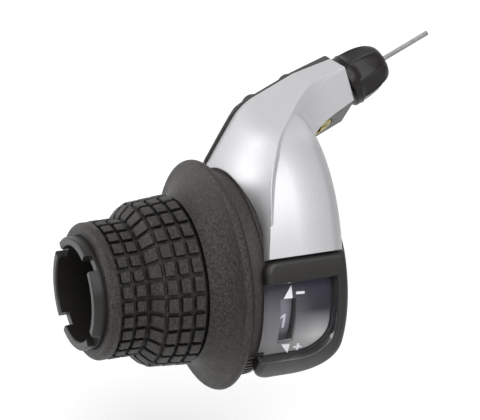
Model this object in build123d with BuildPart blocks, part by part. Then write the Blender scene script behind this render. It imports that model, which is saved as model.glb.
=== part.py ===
from build123d import *
import os
from math import cos, degrees, radians, sin, sqrt, tan

os.makedirs("parts", exist_ok=True)

# Handlebar, and the gaps that the pieces share
bar_diameter = 22.2
bar_clearance = 0.05
running_gap = 0.1
seat_gap = 0.15
hole_gap = 0.12
beyond = 8.0

# Turning sleeve and drum
sleeve_tip_x = -33.1
sleeve_radius = 13.2
tip_chamfer = 0.3
tip_notches = 4
tip_notch_first = 50.0
tip_notch_angle = 18.0
tip_notch_depth = 2.0
sleeve_ribs = 6
sleeve_rib_width = 2.2
sleeve_rib_height = 0.8
detent_x = 2.45
detent_width = 3.2
detent_radius = 17.6
detent_depth = 1.1
gear_step = 30.0
gear_steps = 2
lug_top_angle = 206.0
lug_low_angle = 189.0
lug_outer_radius = 19.9
stop_inner_radius = 18.5
stop_angle = 7.0
leaf_seats = (-52.0, -122.0)
leaf_seat_angle = 6.0
leaf_thickness = 0.5
drum_x = 14.95
wire_radius = 0.6
pitch_radius = 14.0
drum_flange_radius = 16.4
drum_flange_width = 1.6
groove_width = 1.8
drum_end_x = 17.9
nipple_radius = 2.0
nipple_length = 4.0
nipple_angle = -112.0

# Rubber grip
rubber_gap = 0.08
rubber_tip_x = -30.2
rubber_tip_radius = 15.0
tread_start_x = -27.3
tread_pitch = 3.23
tread_columns = 6
tread_rows = 28
tread_turn = 3.9
column_groove = 0.8
row_groove = 1.1
tread_depth = 1.05
block_edge = 0.25
grip_small_radius = 16.05
grip_rise_radius = 19.15
grip_large_radius = 19.95
bell_start_x = -7.3
bell_radius = 19.25
rim_radius = 27.0
rim_back_x = 0.75
rim_width = 2.3
rim_hollow = 1.6
hub_wall = 2.6

# Number ring
ring_x = 6.3
ring_width = 5.8
ring_radius = 20.75
ring_wall = 1.0
ring_hub_wall = 1.5
ring_web = 1.3
key_half_angle = 3.5
key_height = 0.8

# Cup of the bracket
cup_front_x = 1.15
collar_radius = 23.75
collar_lip = 0.5
collar_lip_width = 0.9
collar_end_x = 5.8
collar_chamfer = 0.4
collar_ribs = 6
collar_rib_top = -36.0
collar_rib_pitch = 4.0
collar_rib_angle = 1.6
sight_top_angle = 4.0
sight_low_angle = -34.0
cup_radius = 22.4
cup_wall = 1.3
cup_floor_x = 19.1
cup_floor = 2.2
cup_end_x = 23.4
retainer_x = 1.3
retainer_thickness = 0.9

# Bar clamp
clamp_end_x = 29.4
clamp_radius = 14.2
clamp_slot = 2.2
ear_half_width = 6.8
ear_depth = 20.4
ear_top = 7.0
clamp_bolt_radius = 2.0
clamp_bolt_x = 25.5
clamp_bolt_z = -15.6
clamp_head_radius = 3.5
clamp_head_length = 4.0
clamp_nut_size = 7.0
clamp_nut_thickness = 3.1

# Arm and wire run
arm_angle = 24.0
elbow_z = 25.85
arm_run = 28.65
bend_radius = 10.5
arm_top = 9.0
arm_end_top = 7.3
arm_shoulder = 10.0
arm_back = 7.5
arm_split_low = -3.1
arm_low = -10.0
arm_low_front = 2.9
arm_split_front = -4.75
arm_low_chamfer = 2.6
wedge_start = -18.5
arm_end_slant = 2.7
edge_show = 0.75
top_show = 0.05
edge_width = 0.8
back_slope = 42.0
channel_depth = 1.6
channel_half = 1.6
guide_thickness = 3.0
root_low = 1.8
root_ledge = 4.4
root_ledge_low = 18.0
root_ledge_high = 20.6
root_top = 26.4
end_block_radius = 4.3
end_block_length = 9.0
wire_tail = 24.8

# Silver cover
cover_start_x = 6.0
cover_start_radius = 25.9
cover_slope = 1.4
face_low_angle = 12.0
face_flat_angle = 42.0
face_low_reach = 1.3
face_lean_angle = 82.0
face_inner_radius = 17.0
face_outer_radius = 62.0
cover_end_x = 24.1
cover_wall = 1.7
bulge_y = 0.9
bulge_z = 6.15
bulge_half_depth = 26.65
bulge_half_height = 31.65
bulge_rounding = 3.6
elbow_rounding = 10.5
ridge_front = 8.0
crease_above = 6.9
cover_screw_radius = 1.5
cover_head_radius = 2.8
cover_head_height = 1.9
cover_screw_seat = 3.2
keeper_along = -9.7
keeper_length = 8.1
keeper_head_radius = 3.7
keeper_head_height = 1.2
keeper_recess = 1.0
boss_radius = 2.7
boss_depth = 6.2
boss_web = 1.8
boss_web_height = 2.5

# Window unit
window_radius = 27.4
window_start_x = 3.6
window_end_x = 24.0
window_top_angle = 23.4
window_low_angle = -50.5
window_low_right = 10.6
window_low_left = 4.2
window_top_left = 3.0
window_edge = 1.5
lens_corner = 7.9
lens_top_angle = 11.1
lens_low_angle = -33.3
lens_end_x = 20.9
lens_inner_radius = 24.6
mask_thickness = 0.8
mask_start_x = 6.15
aperture_x = 7.5
aperture_width = 4.0
aperture_top_angle = 2.0
aperture_low_angle = -24.0

# Barrel adjuster
knob_gap = 0.45
knob_length = 11.0
knob_radius = 6.4
knob_nose = 3.6
knob_nose_radius = 5.65
knob_tip_radius = 3.3
knob_lobes = 8
lobe_groove = 0.9
stem_radius = 2.45
stem_bore = 1.0
stem_inside = 7.5
insert_radius = 3.3
insert_length = 6.9
casing_radius = 2.6
casing_depth = 4.6
knob_web = 1.3
click_radius = 4.1
click_length = 2.1
spring_wire = 0.5
spring_turns = 2.5

# Worked out from the sizes above
bore_radius = bar_diameter / 2 + bar_clearance
sleeve_bore = bar_diameter / 2 + running_gap
arm_cos = cos(radians(arm_angle))
arm_sin = sin(radians(arm_angle))
arm_end_x = drum_x + arm_run * arm_cos
arm_end_z = elbow_z + arm_run * arm_sin
bend_tangent = bend_radius * tan(radians(90 - arm_angle) / 2)
bend_start_z = elbow_z - bend_tangent
along_arm = (arm_cos, 0, arm_sin)
above_arm = (-arm_sin, 0, arm_cos)
tread_end_x = tread_start_x + tread_pitch * tread_columns
rise_x = tread_start_x + 2 * tread_pitch
full_x = rise_x + tread_pitch
cup_bore = cup_radius - cup_wall
cup_back_x = cup_floor_x + cup_floor
seat_radius = pitch_radius - 0.2
knob_tip = knob_gap + knob_length
knob_pocket = knob_tip - casing_depth - knob_web
low_top = arm_split_low - seat_gap


def arm_point(along, back, above):
    """A point given along the arm from its end, back from the split plane and above the wire."""
    x = arm_end_x + along * arm_cos - above * arm_sin
    z = arm_end_z + along * arm_sin + above * arm_cos
    return (x, pitch_radius + back, z)


def arm_plane(along):
    """The plane across the arm: local x goes back, local y goes up."""
    return Plane(origin=arm_point(along, 0, 0), x_dir=(0, 1, 0), z_dir=along_arm)


def radial_plane(angle):
    """The plane through the bar axis at an angle above the front: local y is the radius."""
    normal = (0, -sin(radians(angle)), -cos(radians(angle)))
    return Plane(origin=(0, 0, 0), x_dir=(1, 0, 0), z_dir=normal)


def sector(start_x, end_x, inner, outer, top_angle, low_angle):
    """A block of a ring about the bar axis."""
    with BuildPart() as block:
        with BuildSketch(radial_plane(top_angle)):
            with Locations(((start_x + end_x) / 2, (inner + outer) / 2)):
                Rectangle(end_x - start_x, outer - inner)
        revolve(axis=Axis.X, revolution_arc=top_angle - low_angle)
    return block.part


def turned(points):
    """A body turned about the bar axis from points of X and radius."""
    with BuildPart() as body:
        with BuildSketch(Plane.XZ):
            with BuildLine():
                Polyline(points, close=True)
            make_face()
        revolve(axis=Axis.X)
    return body.part


def arm_rod(start, end, radius):
    """A round rod on the wire axis of the arm."""
    with BuildPart() as rod:
        with BuildSketch(arm_plane(start)):
            Circle(radius)
        extrude(amount=end - start)
    return rod.part


def arm_bar(points, start, end):
    """A bar along the arm from points of the arm section."""
    with BuildPart() as bar:
        with BuildSketch(arm_plane(start)):
            with BuildLine():
                Polyline(points, close=True)
            make_face()
        extrude(amount=end - start)
    return bar.part


def bend_block(inner, outer, front, depth):
    """A block round the bend of the wire, from the front of the split plane to a depth behind it."""
    with BuildPart() as block:
        with BuildSketch(Plane.XZ.offset(front - pitch_radius)):
            with BuildLine():
                x = drum_x + bend_radius
                CenterArc((x, bend_start_z), outer, 90 + arm_angle, 90 - arm_angle)
                CenterArc((x, bend_start_z), inner, 90 + arm_angle, 90 - arm_angle)
                Line((x - outer, bend_start_z), (x - inner, bend_start_z))
                Line(
                    (x - outer * arm_sin, bend_start_z + outer * arm_cos),
                    (x - inner * arm_sin, bend_start_z + inner * arm_cos),
                )
            make_face()
        extrude(amount=-front - depth)
    return block.part


def back_pin(along, above, start, end, radius):
    """A round pin square to the split plane, given by its distances behind that plane."""
    x, y, z = arm_point(along, 0, above)
    with BuildPart() as pin:
        with BuildSketch(Plane.XZ.offset(-pitch_radius - start)):
            with Locations((x, z)):
                Circle(radius)
        extrude(amount=start - end)
    return pin.part


def under_top(blank, inset):
    """The blank kept under the top of the arm, with the rounded elbow and the slanted end."""
    slant = Vector(*above_arm) * arm_shoulder + Vector(*along_arm) * (arm_top - arm_end_top)
    with BuildPart() as limit:
        add(blank)
        split(bisect_by=Plane(origin=arm_point(0, 0, arm_top - inset), z_dir=above_arm), keep=Keep.BOTTOM)
        flat = limit.faces().filter_by(GeomType.PLANE).sort_by(Axis((0, 0, 0), above_arm))[-1]
        curved = [e for e in flat.edges() if e.geom_type != GeomType.LINE]
        left_edge = sorted(curved, key=lambda e: e.center().X)[0]
        fillet(left_edge, elbow_rounding - inset)
        split(bisect_by=Plane(origin=arm_point(0, 0, arm_end_top - inset), z_dir=slant), keep=Keep.BOTTOM)
    return limit.part


def cone_blank(inset):
    """The space behind the cone of the left face."""
    start_radius = cover_start_radius - inset * sqrt(1 + cover_slope**2)
    far_x = arm_end_x + beyond
    far_radius = start_radius + cover_slope * (far_x - cover_start_x)
    return turned([(cover_start_x, 0), (cover_start_x, start_radius), (far_x, far_radius), (far_x, 0)])


def lean(angle):
    """How far the left face leans over for each millimetre of radius: upright low down, a cone higher up."""
    share = min(max((angle - face_flat_angle) / (face_lean_angle - face_flat_angle), 0), 1)
    return share * share * (3 - 2 * share) / cover_slope


def face_blank(inset):
    """The space behind the left face of the cover."""
    low, high = face_inner_radius, face_outer_radius
    far_x = arm_end_x + beyond
    with BuildPart() as blank:
        for angle in (face_flat_angle, 48, 54, 60, 66, 72, 78, 84, 96, 108, 120, 132, 144):
            tilt = lean(angle)
            start = cover_start_x + inset * sqrt(1 + tilt * tilt)
            with BuildSketch(radial_plane(angle)):
                with BuildLine():
                    Polyline(
                        (start + tilt * (low - cover_start_radius), low),
                        (start + tilt * (high - cover_start_radius), high),
                        (far_x, high),
                        (far_x, low),
                        close=True,
                    )
                make_face()
        loft()
    return blank.part


def low_face(inset):
    """The space behind the lowest part of the left face, which reaches out over the collar."""
    with BuildPart() as blank:
        for angle, share in ((face_flat_angle, 0), (34, 0.45), (26, 0.95), (face_low_angle, 1)):
            start = cover_start_x + inset - share * face_low_reach
            middle = (face_inner_radius + face_outer_radius) / 2
            with BuildSketch(radial_plane(angle)):
                with Locations(((start + arm_end_x + beyond) / 2, middle)):
                    Rectangle(arm_end_x + beyond - start, face_outer_radius - face_inner_radius)
        loft()
    return blank.part


def cover_form(inset):
    """The solid form of the silver cover, drawn in from its outside by the inset."""
    crease_points = [
        (0.0, -ridge_front),
        (-4.8, -8.7),
        (-9.1, -9.9),
        (-13.5, -12.7),
        (-17.2, -16.1),
        (-21.9, -21.1),
        (-26.7, -26.2),
        (-29.9, -29.9),
        (-32.9, -33.3),
        (-36.5, -37.5),
        (-40.0, -41.4),
    ]
    far = crease_points[-1][0]
    with BuildPart() as band:
        with BuildSketch(Plane(origin=arm_point(0, 0, crease_above), x_dir=along_arm, z_dir=above_arm)):
            with BuildLine():
                crease = Spline([(along, back + inset) for along, back in crease_points])
                Polyline(crease @ 1, (far, arm_back), (0.0, arm_back), crease @ 0)
            make_face()
        fall = Vector(*above_arm) * (arm_split_low - crease_above)
        slope = Vector(0, arm_split_front + ridge_front, 0) + fall
        extrude(amount=2.0 * slope.length, dir=slope)
        extrude(band.faces().sort_by(Axis((0, 0, 0), above_arm))[-1], amount=arm_shoulder)
        split(bisect_by=Plane(origin=arm_point(0, 0, arm_split_low), z_dir=above_arm), keep=Keep.TOP)
    with BuildPart() as reach:
        add(under_top(face_blank(inset), inset))
        add(low_face(inset))
    with BuildPart() as form:
        with BuildSketch(Plane.YZ.offset(cover_start_x - face_low_reach)):
            with Locations((bulge_y, bulge_z)):
                Ellipse(bulge_half_depth - inset, bulge_half_height - inset)
        extrude(amount=cover_end_x - inset - cover_start_x + face_low_reach)
        fillet(form.edges().group_by(Axis.X)[-1], bulge_rounding)
        add(band.part)
        add(reach.part, mode=Mode.INTERSECT)
    return form.part


def lens_block(start_x, inner, outer, spare):
    """A block of the window outline, grown by the spare, with its low right corner rounded."""
    spare_angle = degrees(spare / window_radius)
    with BuildPart() as block:
        add(
            sector(
                start_x,
                lens_end_x + spare,
                inner,
                outer,
                lens_top_angle + spare_angle,
                lens_low_angle - spare_angle,
            )
        )
        right_end = block.faces().filter_by(GeomType.PLANE).sort_by(Axis.X)[-1]
        fillet(right_end.edges().sort_by(Axis.Z)[0], lens_corner + spare)
    return block.part


def pan_screw(plane, shank, shank_length, head, head_height):
    """A pan-head screw whose head sits on the plane and whose shank goes down."""
    recess_length, recess_width, recess_depth = head * 1.15, head * 0.26, head_height * 0.6
    with BuildPart() as screw:
        with BuildSketch(plane):
            Circle(head)
        extrude(amount=head_height)
        fillet(screw.edges().group_by(Axis(plane.origin, plane.z_dir))[-1], head_height * 0.55)
        with BuildSketch(plane):
            Circle(shank)
        extrude(amount=-shank_length)
        with BuildSketch(plane.offset(head_height)):
            Rectangle(recess_length, recess_width)
            Rectangle(recess_width, recess_length)
        extrude(amount=-recess_depth, mode=Mode.SUBTRACT)
    return screw.part


# Screws: two from the back into the cover, one up through the wedge into the bracket
cover_screw_spots = [(-11.0, 5.0), (-21.0, 5.2)]
facet = Vector(0, arm_low_front - arm_split_front, 0) + Vector(*above_arm) * (arm_low - low_top)
facet_normal = facet.cross(Vector(*along_arm)).normalized()
facet_middle = arm_point(keeper_along, (arm_split_front + arm_low_front) / 2, (low_top + arm_low) / 2)
facet_plane = Plane(origin=facet_middle, x_dir=along_arm, z_dir=facet_normal)

# Slanted end of the arm below the split line
with BuildPart() as end_cut:
    with BuildSketch(Plane.XZ.offset(-pitch_radius - arm_back - beyond)):
        with BuildLine():
            corners = [arm_point(0, 0, low_top), arm_point(-arm_end_slant, 0, arm_low)]
            corners += [arm_point(-arm_end_slant, 0, arm_low - 1), arm_point(beyond, 0, arm_low - 1)]
            corners += [arm_point(beyond, 0, low_top)]
            Polyline([(x, z) for x, y, z in corners], close=True)
        make_face()
    extrude(amount=arm_back + 2 * beyond)

with BuildPart() as bracket:
    # Arm back half behind the split plane, its root on the cup, kept under the rim of the cover
    add(
        arm_bar(
            [
                (0, arm_top + beyond),
                (arm_back, arm_top + beyond),
                (arm_back, arm_low + arm_low_chamfer),
                (arm_back - arm_low_chamfer, arm_low),
                (arm_low_front + seat_gap, arm_low),
                (arm_low_front + seat_gap, arm_split_low),
                (0, arm_split_low),
            ],
            -arm_run - beyond,
            0,
        )
    )
    with BuildSketch(Plane.XZ.offset(-pitch_radius)):
        with BuildLine():
            Polyline(
                (cover_start_x, root_low),
                (cup_back_x, root_low),
                (cup_back_x, root_ledge_low),
                (cup_back_x + root_ledge, root_ledge_high),
                (cup_back_x + root_ledge, root_top),
                (cover_start_x, root_top),
                close=True,
            )
        make_face()
    extrude(amount=-arm_back)
    add(under_top(cone_blank(-edge_show), -top_show), mode=Mode.INTERSECT)
    # Back of the arm falling away behind its narrow edge, along the top and down the left side
    fall = Vector(0, sin(radians(back_slope)), 0)
    top_fall = fall + Vector(*above_arm) * cos(radians(back_slope))
    split(bisect_by=Plane(origin=arm_point(0, edge_width, arm_top + top_show), z_dir=top_fall), keep=Keep.BOTTOM)
    side_z = cover_start_radius
    side_radius = sqrt(side_z**2 + pitch_radius**2)
    side_x = cover_start_x + (side_radius - cover_start_radius) / cover_slope - edge_show
    rise = cover_slope * side_radius / side_z
    side = Vector(-rise, 0, 1).normalized()
    side_fall = fall + side * cos(radians(back_slope))
    split(
        bisect_by=Plane(origin=(side_x, pitch_radius + edge_width, side_z), z_dir=side_fall),
        keep=Keep.BOTTOM,
    )
    # Cup, collar with its small ribs, and the end block for the adjuster
    add(arm_rod(-end_block_length, 0, end_block_radius))
    add(
        turned(
            [
                (cup_front_x, 0),
                (cup_front_x, collar_radius - collar_chamfer),
                (cup_front_x + collar_chamfer, collar_radius),
                (collar_end_x - collar_lip_width, collar_radius),
                (collar_end_x - collar_lip_width, collar_radius + collar_lip),
                (collar_end_x, collar_radius + collar_lip),
                (collar_end_x, cup_radius),
                (cup_end_x, cup_radius),
                (cup_end_x, 0),
            ]
        )
    )
    for index in range(collar_ribs):
        rib_top = collar_rib_top - collar_rib_pitch * index
        add(
            sector(
                cup_front_x + 2 * collar_chamfer,
                collar_end_x - collar_chamfer,
                collar_radius - 1,
                collar_radius + collar_lip,
                rib_top,
                rib_top - collar_rib_angle,
            )
        )
    add(turned([(0, 0), (0, cup_bore), (cup_floor_x, cup_bore), (cup_floor_x, 0)]), mode=Mode.SUBTRACT)
    add(
        turned([(cup_back_x, 0), (cup_back_x, cup_bore), (cup_end_x + 1, cup_bore), (cup_end_x + 1, 0)]),
        mode=Mode.SUBTRACT,
    )
    # Window opening in the cup wall, and the way of the wire from the drum to the adjuster
    sight = (cup_bore - 2, cup_radius + 2, sight_top_angle, sight_low_angle)
    add(sector(collar_end_x + 0.1, ring_x + ring_width + 0.4, *sight), mode=Mode.SUBTRACT)
    with Locations((drum_x, pitch_radius, bend_start_z - beyond / 2)):
        Box(2 * channel_half, 2 * channel_depth, beyond + 1, mode=Mode.SUBTRACT)
    pocket_inner = bend_radius - guide_thickness - seat_gap
    add(bend_block(pocket_inner, bend_radius + channel_half, channel_depth, channel_depth), mode=Mode.SUBTRACT)
    add(
        arm_bar(
            [
                (-channel_depth, -channel_half),
                (channel_depth, -channel_half),
                (channel_depth, channel_half),
                (-channel_depth, channel_half),
            ],
            bend_tangent - arm_run,
            0.5 - end_block_length,
        ),
        mode=Mode.SUBTRACT,
    )
    # Leaf seats at the bottom of the cup and two stop ribs
    for seat_top in leaf_seats:
        seat_ends = (seat_top, seat_top - leaf_seat_angle)
        add(sector(detent_x, detent_x + detent_width, cup_bore - 0.8, cup_radius - 0.5, *seat_ends))
    for stop_top in (lug_top_angle + 1 + stop_angle, lug_low_angle - gear_step * gear_steps - 1):
        stop_ends = (stop_top, stop_top - stop_angle)
        add(sector(detent_x, detent_x + detent_width, stop_inner_radius, cup_radius - 0.5, *stop_ends))
    # Clamp band with its ears, slot and bolt holes
    clamp_length = clamp_end_x - cup_back_x
    with BuildSketch(Plane.YZ.offset(cup_floor_x + 0.5)):
        Circle(clamp_radius)
    extrude(amount=clamp_end_x - cup_floor_x - 0.5)
    with Locations((cup_back_x + clamp_length / 2, 0, -(ear_depth + ear_top) / 2)):
        Box(clamp_length, 2 * ear_half_width, ear_depth - ear_top)
    with BuildSketch(Plane.YZ):
        Circle(bore_radius)
    extrude(amount=clamp_end_x + beyond, mode=Mode.SUBTRACT)
    with Locations((cup_back_x + (clamp_length + beyond) / 2, 0, -ear_depth / 2 - 1)):
        Box(clamp_length + beyond, clamp_slot, ear_depth + 2, mode=Mode.SUBTRACT)
    with BuildSketch(Plane.XZ.offset(-ear_half_width - 1)):
        with Locations((clamp_bolt_x, clamp_bolt_z)):
            Circle(clamp_bolt_radius + hole_gap)
    extrude(amount=2 * ear_half_width + 2, mode=Mode.SUBTRACT)
    with BuildSketch(Plane.XZ.offset(ear_half_width - clamp_nut_thickness - hole_gap)):
        with Locations((clamp_bolt_x, clamp_bolt_z)):
            Rectangle(clamp_nut_size + 2 * hole_gap, clamp_nut_size + 2 * hole_gap)
    extrude(amount=beyond, mode=Mode.SUBTRACT)
    # Screw holes with their head seats, insert hole and the passage for the stem
    for along, above in cover_screw_spots:
        add(back_pin(along, above, -1, arm_back + 1, cover_screw_radius + hole_gap), mode=Mode.SUBTRACT)
        add(back_pin(along, above, cover_screw_seat, arm_back + 1, cover_head_radius + hole_gap), mode=Mode.SUBTRACT)
    with BuildSketch(facet_plane):
        Circle(cover_screw_radius + hole_gap)
    extrude(amount=-keeper_recess - keeper_length - 0.6, mode=Mode.SUBTRACT)
    add(arm_rod(-insert_length - hole_gap, 1, insert_radius + hole_gap), mode=Mode.SUBTRACT)
    add(arm_rod(-end_block_length - 1, 1, stem_radius + seat_gap), mode=Mode.SUBTRACT)
    add(end_cut.part, mode=Mode.SUBTRACT)
bracket.part.label = "bracket"
export_step(bracket.part, "parts/bracket.step")

with BuildPart() as top_cover:
    add(cover_form(0.0))
    add(cover_form(cover_wall), mode=Mode.SUBTRACT)
    # Posts for the two screws, each with a web up to the top wall, and their pilot holes
    for along, above in cover_screw_spots:
        add(back_pin(along, above, -boss_depth, -seat_gap, boss_radius))
        with Locations(arm_plane(along)):
            with Locations((-boss_depth / 2, above + boss_web_height / 2, 0)):
                Box(boss_depth, boss_web_height, boss_web)
    for along, above in cover_screw_spots:
        add(back_pin(along, above, 0.6 - boss_depth, 1, cover_screw_radius + bar_clearance), mode=Mode.SUBTRACT)
    # Kept in front of the split plane, above the window, and clear of the cup and the arm end
    split(bisect_by=Plane.XZ.offset(seat_gap - pitch_radius), keep=Keep.TOP)
    window_side = (0, sin(radians(window_top_angle)), cos(radians(window_top_angle)))
    split(bisect_by=Plane(origin=(0, 0, 0), z_dir=window_side), keep=Keep.TOP)
    with BuildSketch(Plane.YZ):
        Circle(cup_radius + seat_gap)
    extrude(amount=clamp_end_x, mode=Mode.SUBTRACT)
    with BuildSketch(Plane.YZ):
        Circle(collar_radius + collar_lip + seat_gap)
    extrude(amount=collar_end_x + seat_gap, mode=Mode.SUBTRACT)
    add(arm_rod(-end_block_length - seat_gap, 1, end_block_radius + seat_gap), mode=Mode.SUBTRACT)
top_cover.part.label = "top_cover"
export_step(top_cover.part, "parts/top_cover.step")

with BuildPart() as lower_cover:
    wedge = [(arm_split_front, low_top), (arm_low_front, arm_low), (arm_low_front, low_top)]
    add(arm_bar(wedge, wedge_start, 0))
    add(arm_rod(-end_block_length - seat_gap, 1, end_block_radius + seat_gap), mode=Mode.SUBTRACT)
    with BuildSketch(facet_plane):
        Circle(cover_screw_radius + hole_gap)
    extrude(amount=-keeper_recess - keeper_length, mode=Mode.SUBTRACT)
    with BuildSketch(facet_plane):
        Circle(keeper_head_radius + hole_gap)
    extrude(amount=-keeper_recess, mode=Mode.SUBTRACT)
    add(end_cut.part, mode=Mode.SUBTRACT)
lower_cover.part.label = "lower_cover"
export_step(lower_cover.part, "parts/lower_cover.step")

with BuildPart() as cover_screws:
    for along, above in cover_screw_spots:
        seat = Plane(origin=arm_point(along, cover_screw_seat, above), x_dir=along_arm, z_dir=(0, 1, 0))
        length = cover_screw_seat + boss_depth - 1.0
        add(pan_screw(seat, cover_screw_radius, length, cover_head_radius, cover_head_height))
cover_screws.part.label = "cover_screws"
export_step(cover_screws.part, "parts/cover_screws.step")

with BuildPart() as keeper_screw:
    seat = facet_plane.offset(-keeper_recess)
    add(pan_screw(seat, cover_screw_radius, keeper_length, keeper_head_radius, keeper_head_height))
keeper_screw.part.label = "keeper_screw"
export_step(keeper_screw.part, "parts/keeper_screw.step")

with BuildPart() as indicator_bezel:
    # Block from the band above the lens down to the rounded bottom lip
    bezel_low = collar_radius + collar_lip + 0.25
    with BuildSketch(radial_plane(window_top_angle - 0.3)):
        with BuildLine():
            Polyline(
                (window_start_x, bezel_low),
                (window_start_x, window_radius),
                (window_end_x, window_radius),
                (window_end_x, cup_radius + seat_gap),
                (collar_end_x + seat_gap, cup_radius + seat_gap),
                (collar_end_x + seat_gap, bezel_low),
                close=True,
            )
        make_face()
    revolve(axis=Axis.X, revolution_arc=window_top_angle - 0.3 - window_low_angle)
    # Corners rounded as seen from the front, then the outer edge, which stays sharp along the top
    low_end = indicator_bezel.faces().filter_by(GeomType.PLANE).sort_by(Axis.Z)[0]
    fillet(low_end.edges().sort_by(Axis.X)[-1], window_low_right)
    low_end = indicator_bezel.faces().filter_by(GeomType.PLANE).sort_by(Axis.Z)[0]
    fillet(low_end.edges().sort_by(Axis.X)[0], window_low_left)
    top_end = indicator_bezel.faces().filter_by(GeomType.PLANE).sort_by(Axis.Z)[-1]
    fillet(top_end.edges().sort_by(Axis.X)[0], window_top_left)
    shell = indicator_bezel.faces().filter_by(GeomType.CYLINDER).sort_by(SortBy.AREA)[-1]
    fillet(shell.edges().sort_by(Axis.Z)[:-1], window_edge)
    # Pocket for the lens and mask, and the sight hole below them
    pocket_floor = lens_inner_radius - mask_thickness - 0.15
    add(lens_block(window_start_x - 1, pocket_floor, window_radius + 2, seat_gap), mode=Mode.SUBTRACT)
    add(
        sector(
            mask_start_x + 1.0,
            lens_end_x - 4.0,
            cup_radius - 2,
            lens_inner_radius,
            lens_top_angle - 3.0,
            lens_low_angle + 5.0,
        ),
        mode=Mode.SUBTRACT,
    )
indicator_bezel.part.label = "indicator_bezel"
export_step(indicator_bezel.part, "parts/indicator_bezel.step")

with BuildPart() as indicator_lens:
    add(lens_block(window_start_x, lens_inner_radius, window_radius, 0))
indicator_lens.part.label = "indicator_lens"
export_step(indicator_lens.part, "parts/indicator_lens.step")

with BuildPart() as indicator_mask:
    mask_outer = lens_inner_radius - 0.08
    mask_inner = lens_inner_radius - mask_thickness
    add(lens_block(mask_start_x, mask_inner - 2, window_radius, 0))
    mask_end = lens_end_x + 1
    ring = [(0, mask_inner), (0, mask_outer), (mask_end, mask_outer), (mask_end, mask_inner)]
    add(turned(ring), mode=Mode.INTERSECT)
    add(
        sector(
            aperture_x,
            aperture_x + aperture_width,
            mask_inner - 1,
            mask_outer + 1,
            aperture_top_angle,
            aperture_low_angle,
        ),
        mode=Mode.SUBTRACT,
    )
indicator_mask.part.label = "indicator_mask"
export_step(indicator_mask.part, "parts/indicator_mask.step")

with BuildPart() as clamp_bolt:
    seat = Plane(origin=(clamp_bolt_x, ear_half_width, clamp_bolt_z), x_dir=(1, 0, 0), z_dir=(0, 1, 0))
    with BuildSketch(seat):
        Circle(clamp_head_radius)
    extrude(amount=clamp_head_length)
    chamfer(clamp_bolt.edges().group_by(Axis.Y)[-1], 0.5)
    with BuildSketch(seat.offset(clamp_head_length)):
        RegularPolygon(1.75, 6)
    extrude(amount=-2.2, mode=Mode.SUBTRACT)
    with BuildSketch(seat):
        Circle(clamp_bolt_radius)
    extrude(amount=-2 * ear_half_width + 0.2)
clamp_bolt.part.label = "clamp_bolt"
export_step(clamp_bolt.part, "parts/clamp_bolt.step")

with BuildPart() as clamp_nut:
    with BuildSketch(Plane.XZ.offset(ear_half_width - clamp_nut_thickness)):
        with Locations((clamp_bolt_x, clamp_bolt_z)):
            Rectangle(clamp_nut_size, clamp_nut_size)
            Circle(clamp_bolt_radius + 0.05, mode=Mode.SUBTRACT)
    extrude(amount=clamp_nut_thickness)
clamp_nut.part.label = "clamp_nut"
export_step(clamp_nut.part, "parts/clamp_nut.step")

with BuildPart() as cable_lead:
    bend_x = drum_x + bend_radius
    with BuildLine() as lead_line:
        start = radians(nipple_angle) + (nipple_length / 2 + 0.1) / pitch_radius
        ThreePointArc(
            (drum_x, pitch_radius * cos(start), pitch_radius * sin(start)),
            (drum_x, pitch_radius * cos(start / 2), pitch_radius * sin(start / 2)),
            (drum_x, pitch_radius, 0),
        )
        Line((drum_x, pitch_radius, 0), (drum_x, pitch_radius, bend_start_z))
        half = radians(90 + (90 + arm_angle) / 2)
        ThreePointArc(
            (drum_x, pitch_radius, bend_start_z),
            (bend_x + bend_radius * cos(half), pitch_radius, bend_start_z + bend_radius * sin(half)),
            arm_point(bend_tangent - arm_run, 0, 0),
        )
    with BuildSketch(Plane(origin=lead_line.line @ 0, z_dir=lead_line.line % 0)):
        Circle(wire_radius)
    sweep(path=lead_line.line)
cable_lead.part.label = "cable_lead"
export_step(cable_lead.part, "parts/cable_lead.step")

with BuildPart() as cable_guide:
    # Grooved block on the inner side of the bend, in the pocket of the bracket
    add(bend_block(bend_radius - guide_thickness, bend_radius + wire_radius, 1.4, channel_depth - 0.1))
    with BuildSketch(Plane.XY.offset(bend_start_z)):
        with Locations((drum_x, pitch_radius)):
            Circle(wire_radius + 0.15)
    bend_axis = Axis((drum_x + bend_radius, pitch_radius, bend_start_z), (0, 1, 0))
    revolve(axis=bend_axis, revolution_arc=90 - arm_angle, mode=Mode.SUBTRACT)
cable_guide.part.label = "cable_guide"
export_step(cable_guide.part, "parts/cable_guide.step")

with BuildPart() as detent_spring:
    leaf_end = cup_bore - 0.6
    leaf_tip = detent_radius - detent_depth + 0.45
    leaf_points = [
        (-59.3, leaf_end),
        (-78, leaf_end - 1.5),
        (-86, leaf_end - 2.2),
        (-90, leaf_tip),
        (-94, leaf_end - 2.2),
        (-102, leaf_end - 1.5),
        (-120.7, leaf_end),
    ]
    with BuildSketch(Plane.YZ.offset(detent_x + 0.3)):
        with BuildLine():
            Polyline([(-r * cos(radians(a)), r * sin(radians(a))) for a, r in leaf_points])
        trace(line_width=leaf_thickness)
    extrude(amount=detent_width - 0.6)
detent_spring.part.label = "detent_spring"
export_step(detent_spring.part, "parts/detent_spring.step")

with BuildPart() as thrust_washer:
    with BuildSketch(Plane.YZ.offset(drum_end_x + 0.1)):
        Circle(drum_flange_radius - 1)
        Circle(sleeve_bore + seat_gap, mode=Mode.SUBTRACT)
    extrude(amount=cup_floor_x - drum_end_x - 0.2)
thrust_washer.part.label = "thrust_washer"
export_step(thrust_washer.part, "parts/thrust_washer.step")

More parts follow.
